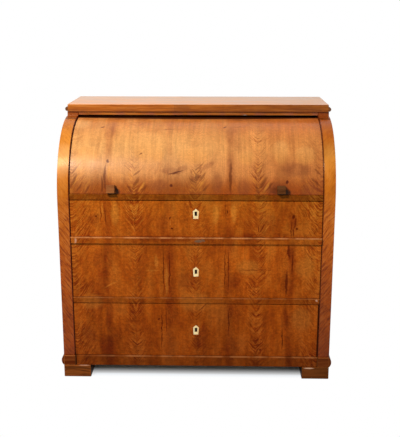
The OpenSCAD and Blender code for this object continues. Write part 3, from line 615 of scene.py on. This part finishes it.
def stile_veneer(name):
    """Plain orange veneer, its grain slanting outwards and up below the fall."""
    finish = Finish(name, specular=0.31, coat=0.03, coat_roughness=0.2, sheen_tone="ffd0a0")
    x, z = finish.x, finish.z
    up = climb(finish)
    aside = finish.size(x)
    side = finish.math("SIGN", x)
    wander = finish.pattern((x, 12.0), (up, 5.0), 3.3)
    level = finish.minus(up, finish.times(aside, 1.3))
    level = finish.plus(level, finish.swing(wander, 0.05))
    stripes = finish.pattern((level, 110.0), (aside, 30.0), (side, 5.0), detail=3.0, roughness=0.65)
    stripes = finish.spread(stripes, 0.34, 0.66)
    figure = finish.times(finish.spread(up, 0.66, 0.80, 1.0, 0.25),
                          finish.spread(up, 0.12, 0.20, 0.7, 1.0))
    streaks = finish.pattern((x, 260.0), (up, 10.0), 4.0, detail=3.0, roughness=0.6)
    fibres = finish.pattern((level, 520.0), (aside, 60.0), side)
    clouds = finish.pattern((x, 14.0), (up, 10.0), 8.8, detail=4.0, roughness=0.6)
    age = share_of_height(finish, up)
    body = finish.tones(age, [(0.0, "883002"), (0.3, "a44404"), (0.55, "b2560c"), (0.68, "be6614"),
                              (0.77, "d6842e"), (0.84, "d4802a"), (0.95, "c06818")])
    deep = finish.tones(age, [(0.0, "501402"), (0.5, "742806"), (0.9, "8e4412")])
    bright = finish.tones(age, [(0.0, "98481a"), (0.5, "c8722c"), (0.9, "e69a44")])
    colour = finish.blend(finish.spread(clouds, 0.45, 0.7, 0.0, 0.45), body, bright)
    colour = finish.blend(finish.spread(clouds, 0.5, 0.32, 0.0, 0.35), colour, deep)
    colour = finish.lay(colour, finish.spread(stripes, 0.0, 0.45, 0.80, 0.0), figure, deep)
    colour = finish.lay(colour, finish.spread(stripes, 0.6, 1.0, 0.0, 0.45), figure, bright)
    colour = finish.vary(colour, streaks, 0.92, 1.07)
    colour = finish.vary(colour, fibres, 0.95, 1.05)
    colour = finish.lay(colour, finish.worn(), 0.3, bright)

    # The right stile is lighter than the left halfway up, darker near the foot and the top
    other = finish.spread(up, 0.86, 1.00, 1.20, 0.76)
    other = finish.times(other, finish.spread(up, 0.35, 0.62, 0.76, 1.0))
    right = finish.math("GREATER_THAN", x, 0.0)
    other = finish.plus(finish.times(right, other), finish.minus(1.0, right))
    colour = finish.scale_tone(colour, other)

    # The left stile has a painted highlight where it faces the light, the right one is redder near the top
    painted_glow = finish.mark(finish.point(x, up, 0.0), -0.532, 0.915, 0.060, 0.085, 0)
    colour = finish.lay(colour, painted_glow, 0.30, tone("ffc078"))
    flushed = finish.times(right, finish.spread(up, 0.93, 1.04))
    colour = finish.blend(flushed, colour, tone("ffdca8"), mode="MULTIPLY")

    # Above the fall's slot the stiles are painted with the shade under the top board, as brown as the frieze,
    # beyond a dark seam
    slot_z = fall_high.z + 0.0006
    head_shade = finish.spread(z, slot_z, fall_high.z + 0.004)
    colour = finish.lay(colour, head_shade, 0.75, tone("8c4018"))
    seam = finish.spread(finish.size(finish.minus(z, slot_z)), 0.0006, 0.0024, 0.75, 0.0)
    colour = finish.blend(seam, colour, tone("3c1408"))

    # Painted shade in the gap beside the fall and the drawers
    painted_shade = finish.spread(aside, panel_end + 0.0048, panel_end + 0.003)
    painted_shade = finish.times(painted_shade, finish.to_right(0.8))
    colour = finish.lay(colour, painted_shade, 0.97, tone("5c1400"))
    roughness = finish.between(clouds, 0.25, 0.32)
    height = finish.plus(finish.times(fibres, 0.2), stripes)
    return finish.done(colour, roughness, height, relief=0.0003, strength=0.25)


def top_veneer(name):
    """Veneer of the top board and frieze: pale above, partly bleached and partly a painted reflection, with
    painted shade along the front's lower edge.
    """
    finish = Finish(name, specular=0.36, coat=0.10, coat_roughness=0.22, sheen_tone="ffd8ac")
    x, y, z = finish.x, finish.y, finish.z
    board_low, board_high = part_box("top_board")
    lip_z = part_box("frieze_rail")[0].z
    bend = finish.pattern((x, 2.5), (y, 9.0), (z, 9.0))
    sway = finish.swing(bend, 0.04)
    rings = finish.pattern((x, 5.0), (finish.plus(y, sway), 75.0), (finish.plus(z, sway), 150.0),
                           detail=3.0, roughness=0.6)
    rings = finish.spread(rings, 0.36, 0.64)
    grain = finish.pattern((x, 14.0), (y, 620.0), (z, 620.0), roughness=0.6)
    clouds = finish.pattern((x, 9.0), (y, 16.0), (z, 30.0), detail=4.0, roughness=0.6)
    colour = finish.blend(finish.spread(rings, 0.0, 0.5, 0.6, 0.0), tone("b45e12"), tone("843c0a"))
    colour = finish.blend(finish.spread(rings, 0.55, 1.0, 0.0, 0.5), colour, tone("cc7e36"))
    colour = finish.blend(finish.spread(clouds, 0.5, 0.7, 0.0, 0.5), colour, tone("c87628"))
    colour = finish.blend(finish.spread(clouds, 0.5, 0.3, 0.0, 0.5), colour, tone("7c3a12"))

    # Three lengths of veneer meet on the front edge, the first a little lighter
    for joint in (-0.098, 0.106):
        gap = finish.size(finish.minus(x, joint))
        colour = finish.blend(finish.spread(gap, 0.0, 0.0016, 0.5, 0.0), colour, tone("6a3010"))
    colour = finish.vary(colour, x, 0.98, 0.89, -0.100, -0.096)

    # The front edge darkens to the right, and painted shade lies along its lower side
    on_board = finish.math("GREATER_THAN", z, board_low.z)
    dusk = finish.times(on_board, finish.spread(x, -0.05, 0.30, 0.0, 0.20))
    colour = finish.scale_tone(colour, finish.minus(1.0, dusk))
    joint_shade = finish.spread(z, board_low.z + 0.0055, board_low.z + 0.0015, 0.0, 0.6)
    colour = finish.lay(colour, joint_shade, on_board, tone("642004"))

    # Mauve patches on the frieze, and painted shade on the lip over the slot
    patch = finish.pattern((x, 17.0), 2.0, 5.0, detail=3.0)
    on_frieze = finish.math("LESS_THAN", z, board_low.z)
    patch = finish.spread(patch, 0.46, 0.62, 0.0, 0.56)
    colour = finish.lay(colour, patch, on_frieze, tone("a05640"))
    slot_lip_shade = finish.spread(z, lip_z + 0.0014, lip_z + 0.0004)
    colour = finish.lay(colour, slot_lip_shade, 0.95, tone("120603"))

    # A small pale chip on that lip
    chip = finish.mark(finish.point(x, z, 0.0), 0.198, lip_z + 0.0005, 0.008, 0.0034, 0)
    colour = finish.lay(colour, chip, 0.9, tone("b8a89c"))

    # The upper face is paler, partly bleached and partly a painted reflection of the white surround, most towards
    # the back
    upper = finish.spread(z, board_high.z - 0.0012, board_high.z - 0.0004)
    depth = finish.spread(y, board_low.y, board_high.y, smooth=False)
    bleach_and_reflection = finish.blend(depth, tone("fcaa68"), tone("eeb98c"))
    bleach_and_reflection = finish.vary(bleach_and_reflection, rings, 0.90, 1.05, 0.0, 1.0)
    bleach_and_reflection = finish.vary(bleach_and_reflection, clouds, 0.88, 1.07)
    bleach_and_reflection = finish.vary(bleach_and_reflection, x, 1.03, 0.93, -0.30, 0.50)
    colour = finish.lay(colour, upper, 0.92, bleach_and_reflection)

    colour = finish.vary(colour, grain, 0.93, 1.06)
    roughness = finish.between(clouds, 0.28, 0.40)
    height = finish.plus(finish.times(grain, 0.4), rings)
    return finish.done(colour, roughness, height, relief=0.0003, strength=0.3)


# Other materials

def grained(name, along, body, deep, bright, ring, specular=0.25, coat=0.06, rough=0.4,
            relief=0.0003, contrast=0.5, seed=0.0, right_dim=1.0, side_shade=None, top_glints=(),
            rubbed_and_glint=0.35, shaded_below=None):
    """Wood whose grain runs along one axis: x, y or z.

    Side shade holds two distances from the bureau's middle: painted shade up to one, none from the other.
    """
    finish = Finish(name, specular=specular, coat=coat, coat_roughness=0.25,
                    sheen_tone="ffd9a8")
    body, deep, bright = tone(body), tone(deep), tone(bright)
    places = {"x": finish.x, "y": finish.y, "z": finish.z}
    lengthwise = places.pop(along)
    first, second = places.values()
    bend = finish.pattern((lengthwise, 3.0), (first, 8.0), finish.plus(second, seed))
    sway = finish.swing(bend, 0.05)
    rings = finish.pattern((finish.plus(first, sway), ring), (finish.plus(second, sway), ring),
                           finish.plus(finish.times(lengthwise, 1.6), seed), roughness=0.55)
    rings = finish.spread(rings, 0.36, 0.64)
    threads = finish.pattern((first, 650.0), (second, 650.0), (lengthwise, 9.0), roughness=0.6)
    clouds = finish.noise(finish.place, scale=6.0, detail=3.0)
    stain = finish.noise(finish.place, scale=2.3, detail=4.0, roughness=0.65)
    colour = finish.blend(finish.spread(rings, 0.0, 0.5, contrast, 0.0), body, deep)
    colour = finish.blend(finish.spread(rings, 0.55, 1.0, 0.0, contrast * 0.7), colour, bright)
    colour = finish.blend(finish.spread(clouds, 0.4, 0.7, 0.0, 0.35), colour, bright)
    colour = finish.blend(finish.spread(stain, 0.52, 0.75, 0.0, 0.45), colour, deep)
    colour = finish.vary(colour, threads, 0.90, 1.08)
    # Rounded edges are lighter: partly wear, partly painted highlight where they catch the light
    colour = finish.lay(colour, finish.worn(), rubbed_and_glint, bright)
    if right_dim != 1.0:
        colour = finish.scale_tone(colour, finish.to_right(right_dim))
    # Pale painted highlights where the light catches the tops of the feet
    for x, z, half_wide, half_high, share in top_glints:
        top_glint = finish.mark(finish.point(finish.x, finish.z, 0.0), x, z, half_wide, half_high, 0)
        colour = finish.lay(colour, top_glint, share, tone("e4b08c"))
    # Painted shade along the lower edge
    if shaded_below is not None:
        under = finish.spread(finish.z, shaded_below - 0.0015, shaded_below + 0.0015, 0.85, 0.0)
        colour = finish.blend(under, colour, tone("241004"))
    # Painted shade on the inner sides
    if side_shade is not None:
        full_shade, no_shade = side_shade
        side_shaded = finish.spread(finish.size(finish.x), no_shade, full_shade, 0.0, 0.9)
        colour = finish.blend(side_shaded, colour, tone("180a04"))
    roughness = finish.between(clouds, rough - 0.06, rough + 0.08)
    height = finish.plus(finish.times(threads, 0.4), rings)
    return finish.done(colour, roughness, height, relief=relief, strength=0.4)


def bone_plate(name):
    """Aged bone, lighter on one side, with fine streaks and yellowed edges."""
    finish = Finish(name, specular=0.25, coat=0.05, coat_roughness=0.2)
    x, z = finish.x, finish.z
    streaks = finish.pattern((x, 900.0), finish.y, (z, 120.0))
    clouds = finish.noise(finish.place, scale=90.0, detail=2.0)
    warm = finish.spread(x, -0.010, 0.010)
    colour = finish.blend(warm, tone("ffe6a8"), tone("ffd490"))
    colour = finish.blend(finish.spread(clouds, 0.45, 0.7, 0.0, 0.5), colour, tone("e9b878"))
    colour = finish.vary(colour, streaks, 0.94, 1.04)
    colour = finish.lay(colour, finish.worn(), 0.6, tone("d79a5c"))

    # The keyhole's rim is painted with the shade of the hole
    aside = finish.spread(finish.size(x), 0.0046, 0.0058, 1.0, 0.0)
    for number in (1, 2, 3):
        low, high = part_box(f"drawer_{number}_key_plate")
        rise = finish.size(finish.minus(z, (low.z + high.z) / 2))
        rim_shade = finish.times(aside, finish.spread(rise, 0.0082, 0.0094, 1.0, 0.0))
        colour = finish.lay(colour, rim_shade, 0.96, tone("2c0e02"))
    roughness = finish.between(clouds, 0.35, 0.5)
    return finish.done(colour, roughness, streaks, relief=0.0001, strength=0.3)


def forged_iron(name):
    """Dull iron with clouds of rust, with painted shade behind the keyhole."""
    finish = Finish(name, metallic=0.85)
    grit = finish.noise(finish.place, scale=420.0, detail=3.0, roughness=0.7)
    clouds = finish.noise(finish.place, scale=60.0, detail=4.0, roughness=0.6)
    rust = finish.spread(clouds, 0.48, 0.68)
    colour = finish.blend(rust, tone("3c3835"), tone("4c2a18"))
    colour = finish.vary(colour, grit, 0.8, 1.15)
    keyway_shade = finish.math("LESS_THAN", finish.size(finish.x), 0.0062)
    colour = finish.blend(keyway_shade, colour, tone("240c02"))
    roughness = finish.spread(rust, 0.0, 1.0, 0.42, 0.78)
    return finish.done(colour, roughness, grit, relief=0.0002, strength=0.5)


def aged_brass(name):
    """Brass in two tones that cloud into each other."""
    finish = Finish(name, metallic=1.0)
    grit = finish.noise(finish.place, scale=300.0, detail=3.0)
    clouds = finish.noise(finish.place, scale=80.0, detail=3.0)
    colour = finish.blend(finish.spread(clouds, 0.4, 0.65), tone("b08a3c"), tone("6d4f22"))
    colour = finish.vary(colour, grit, 0.88, 1.1)
    roughness = finish.between(clouds, 0.22, 0.45)
    return finish.done(colour, roughness, grit, relief=0.0001, strength=0.3)


fall_veneer = front_veneer("fall_panel", fall_marks, smear_tone="864a2c", shine=0.46,
                           shine_tone="ffe2c0", matt=0.33)
slanted = stile_veneer("slanted_veneer")
side_wood = grained("side_veneer", "z", "a0501c", "6c2c0c", "c67a36", ring=70.0, contrast=0.6)
top_wood = top_veneer("top_veneer")

# The inner sides of the plinth blocks and feet are painted dark with the shade that falls there
foot_w = 0.112
block_in = panel_end + 0.001
foot_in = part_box("feet")[1].x - foot_w
plinth_wood = grained("plinth_veneer", "x", "662606", "441604", "9a5424", ring=80.0,
                      specular=0.05, coat=0.0, contrast=0.4, rubbed_and_glint=0.8,
                      side_shade=(block_in - 0.004, block_in + 0.003))
foot_wood = grained("foot_wood", "x", "7c3c10", "482208", "9a501c", ring=150.0, specular=0.1,
                    coat=0.0, rough=0.5, contrast=0.65, right_dim=0.64, rubbed_and_glint=0.6,
                    side_shade=(foot_in + 0.0002, foot_in + 0.0025), shaded_below=0.0028,
                    top_glints=[(0.467, 0.0475, 0.026, 0.0036, 0.85),
                            (-0.466, 0.0505, 0.028, 0.003, 0.35)])
inner_wood = grained("inner_veneer", "x", "b87434", "8c4e1e", "d29a58", ring=60.0, rough=0.42)
knob_wood = grained("knob_wood", "x", "98562a", "663414", "b4723e", ring=110.0, specular=0.06,
                    coat=0.02, rough=0.5, right_dim=0.38,
                    shaded_below=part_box("fall_knobs")[0].z + 0.004)
bead_wood = grained("bead_wood", "y", "704426", "402412", "98684a", ring=200.0, specular=0.1,
                    coat=0.0, rough=0.5, right_dim=1.15)
pine_across = grained("pine_across", "x", "c48c50", "98602a", "dcae74", ring=55.0, specular=0.3,
                      coat=0.0, rough=0.72, relief=0.0006)
pine_deep = grained("pine_deep", "y", "c0884c", "945a28", "d8a96c", ring=55.0, specular=0.3,
                    coat=0.0, rough=0.72, relief=0.0006, seed=3.0)
pine_upright = grained("pine_upright", "z", "b87e46", "8a5424", "cf9e64", ring=50.0, specular=0.3,
                       coat=0.0, rough=0.75, relief=0.0006, seed=7.0)
bone = bone_plate("aged_bone")
iron = forged_iron("forged_iron")
brass = aged_brass("aged_brass")


# Pieces

# Corners nearer than the gap are one. Where two faces meet, a turn under the first angle is
# flat, over the second it shows as a crease and over the third its edge is rounded.
weld_gap = 2e-6
flat_turn = math.radians(0.4)
crease_turn = math.radians(32)
sharp_turn = math.radians(40)


def add_to_scene(thing):
    bpy.context.scene.collection.objects.link(thing)


def clean_copy(node):
    """A CAD solid as one closed mesh of whole faces."""
    mesh = bmesh.new()
    mesh.from_mesh(nodes[node].data)
    bmesh.ops.remove_doubles(mesh, verts=mesh.verts, dist=weld_gap)
    bmesh.ops.dissolve_limit(mesh, angle_limit=flat_turn, verts=mesh.verts, edges=mesh.edges)
    bmesh.ops.recalc_face_normals(mesh, faces=mesh.faces)
    return mesh


def ease(mesh, amount, steps):
    """Rounds the sharp edges and marks the new faces."""
    eased = mesh.faces.layers.float.new("eased")
    sharp = [edge for edge in mesh.edges if edge.calc_face_angle(0.0) > sharp_turn]
    made = bmesh.ops.bevel(mesh, geom=sharp, affect="EDGES", offset=amount, segments=steps,
                           profile=0.5, material=-1, clamp_overlap=True)
    for face in made["faces"]:
        face[eased] = 1.0


def shade_smooth(mesh):
    """Shades the faces smooth, apart from creases and the borders of the eased edges."""
    eased = mesh.faces.layers.float["eased"]
    for face in mesh.faces:
        face.smooth = True
    for edge in mesh.edges:
        alike = len({face[eased] for face in edge.link_faces}) < 2
        edge.smooth = alike and edge.calc_face_angle(0.0) < crease_turn


def finished(node, material, amount, steps=2):
    """A CAD node's own form with its edges eased, which stands in for the node."""
    mesh = clean_copy(node)
    ease(mesh, amount, steps)
    shade_smooth(mesh)
    name = f"{node}_finished"
    data = bpy.data.meshes.new(name)
    mesh.to_mesh(data)
    mesh.free()
    data.materials.append(material)
    piece = bpy.data.objects.new(name, data)
    add_to_scene(piece)
    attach(piece, body_of[node])
    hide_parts(node)


finished("fall_panel", fall_veneer, 0.0008)
finished("slide_lip", flat_veneer("slide_lip", dim=0.55, edge=0.0), 0.0008)
for number in (1, 2, 3):
    finished(f"drawer_{number}_front", flat_veneer(f"drawer_{number}_front"), 0.0008)
    for part, material, amount in (("sides", pine_deep, 0.0005), ("back", pine_across, 0.0005),
                                   ("bottom", pine_across, 0.0005), ("key_plate", bone, 0.0005),
                                   ("lock", iron, 0.0004), ("bolt", iron, 0.0003)):
        finished(f"drawer_{number}_{part}", material, amount)
# Each rail's darkening, the strength of the painted highlight along its upper edge, and its rounding
for node, dim, edge, amount, steps in (("drawer_rail_1", 0.88, 0.85, 0.0025, 3),
                                       ("drawer_rail_2", 0.75, 0.26, 0.0009, 2),
                                       ("base_rail", 0.71, 0.42, 0.0012, 2)):
    finished(node, flat_veneer(node, dim, edge), amount, steps)
for side in ("left", "right"):
    finished(f"stile_{side}", slanted, 0.001)
    finished(f"side_panel_{side}", side_wood, 0.0006)
    finished(f"fall_quadrant_{side}", pine_across, 0.0005)
    finished(f"small_drawer_{side}_front", inner_wood, 0.0006)
    finished(f"small_drawer_{side}_box", pine_deep, 0.0004)
    finished(f"small_drawer_{side}_knob", brass, 0.0003)
for node, material, amount in (("top_board", top_wood, 0.0012), ("top_beads", bead_wood, 0.0004),
                               ("frieze_rail", top_wood, 0.0008)):
    finished(node, material, amount)
finished("plinth_blocks", plinth_wood, 0.0026, steps=3)
finished("plinth_mouldings", plinth_wood, 0.0004)
finished("feet", foot_wood, 0.0024, steps=3)
finished("fall_knobs", knob_wood, 0.0025, steps=3)
for node, amount in (("slide_board", 0.0006), ("lining_boards", 0.0004),
                     ("gallery_shelves", 0.0006), ("gallery_uprights", 0.0006)):
    finished(node, inner_wood, amount)
finished("gallery_back", pine_across, 0.0004)
for node in ("bottom_board", "deck_board", "fall_cleats", "back_panels"):
    finished(node, pine_across, 0.0005)
for node in ("drawer_runners", "drawer_guides", "fall_stops"):
    finished(node, pine_deep, 0.0005)
finished("back_frame", pine_upright, 0.0006)
finished("pivot_pins", iron, 0.0004)


# Stage

def pale_floor():
    """A pale floor that fades into the white surround away from the bureau."""
    finish = Finish("pale_floor", specular=0.2)
    dust = finish.noise(finish.place, scale=30.0, detail=3.0)
    colour = finish.blend(finish.between(dust, 0.0, 0.15), tone("c4dcf2"), tone("bed6ec"))
    material = finish.done(colour, 0.7, dust, relief=0.0002, strength=0.1)
    beside = finish.minus(finish.size(finish.x), cad_box[1].x)
    ahead = finish.minus(finish.size(finish.y), cad_box[1].y)
    far = finish.spread(finish.most(beside, ahead), -0.110, -0.004)
    path = finish.nodes.new("ShaderNodeLightPath")
    seen = finish.most(path.outputs["Is Camera Ray"], path.outputs["Is Glossy Ray"])
    seen = finish.most(seen, path.outputs["Is Transmission Ray"])
    white = finish.nodes.new("ShaderNodeEmission")
    mix = finish.nodes.new("ShaderNodeMixShader")
    finish.links.new(finish.times(far, seen), mix.inputs[0])
    finish.links.new(finish.surface.outputs["BSDF"], mix.inputs[1])
    finish.links.new(white.outputs[0], mix.inputs[2])
    output = next(n for n in finish.nodes if n.type == "OUTPUT_MATERIAL")
    finish.links.new(mix.outputs[0], output.inputs["Surface"])
    return material


floor_reach = 14.0
floor_mesh = bmesh.new()
bmesh.ops.create_grid(floor_mesh, x_segments=2, y_segments=2, size=floor_reach)
floor_data = bpy.data.meshes.new("floor")
floor_mesh.to_mesh(floor_data)
floor_mesh.free()
floor_data.materials.append(pale_floor())
floor = bpy.data.objects.new("floor", floor_data)
add_to_scene(floor)

# A soft room, seen white by the camera and in what is mirrored towards the back
room_light = 0.33
surround_light = 1.0
world = bpy.data.worlds.new("soft_room")
bpy.context.scene.world = world
world.use_nodes = True
sky = world.node_tree
sky.nodes.clear()


def backdrop(strength):
    light = sky.nodes.new("ShaderNodeBackground")
    light.inputs["Color"].default_value = (1.0, 1.0, 1.0, 1.0)
    light.inputs["Strength"].default_value = strength
    return light.outputs[0]


def sky_math(operation, first, second):
    step = sky.nodes.new("ShaderNodeMath")
    step.operation = operation
    sky.links.new(first, step.inputs[0])
    sky.links.new(second, step.inputs[1])
    return step.outputs[0]


ray = sky.nodes.new("ShaderNodeLightPath").outputs
facing = sky.nodes.new("ShaderNodeTexCoord")
facing_split = sky.nodes.new("ShaderNodeSeparateXYZ")
sky.links.new(facing.outputs["Generated"], facing_split.inputs[0])
behind = sky.nodes.new("ShaderNodeMapRange")
behind.inputs["From Min"].default_value = 0.0
behind.inputs["From Max"].default_value = 0.6
sky.links.new(facing_split.outputs["Y"], behind.inputs["Value"])
mirrored = sky_math("MULTIPLY", behind.outputs["Result"], ray["Is Glossy Ray"])
clear = sky_math("MAXIMUM", ray["Is Camera Ray"], ray["Is Transmission Ray"])
either = sky.nodes.new("ShaderNodeMixShader")
sky.links.new(sky_math("MAXIMUM", mirrored, clear), either.inputs[0])
sky.links.new(backdrop(room_light), either.inputs[1])
sky.links.new(backdrop(surround_light), either.inputs[2])
sky_out = sky.nodes.new("ShaderNodeOutputWorld")
sky.links.new(either.outputs[0], sky_out.inputs["Surface"])

# A square soft light, high in front on the left, that faces the middle of the bureau
light = bpy.data.lights.new("soft_box", "AREA")
light.shape = "SQUARE"
light.size = 0.45
light.energy = 108.0
lamp = bpy.data.objects.new("soft_box", light)
lamp.location = (-1.5, -2.2, 3.05)
middle = Vector((0.0, 0.0, 0.6))
lamp.rotation_euler = (middle - lamp.location).to_track_quat("-Z", "Y").to_euler()
add_to_scene(lamp)

# The view of the photograph: its camera was fitted to the bureau's edges
photo_long_side = 437
focal_pixels = 811.0
turned_down = math.radians(14.37)
turned_left = math.radians(1.37)
to_the_right = 0.091
before_stiles = 3.116
above_floor = 1.482
camera_data = bpy.data.cameras.new("camera")
camera_data.sensor_width = 36.0
camera_data.lens = focal_pixels * camera_data.sensor_width / photo_long_side
camera = bpy.data.objects.new("camera", camera_data)
stile_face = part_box("stile_left")[0].y
camera.location = (to_the_right, stile_face - before_stiles, above_floor)
camera.rotation_euler = (math.radians(90) - turned_down, 0.0, turned_left)
add_to_scene(camera)
bpy.context.scene.camera = camera
bpy.context.scene.view_settings.view_transform = "Standard"
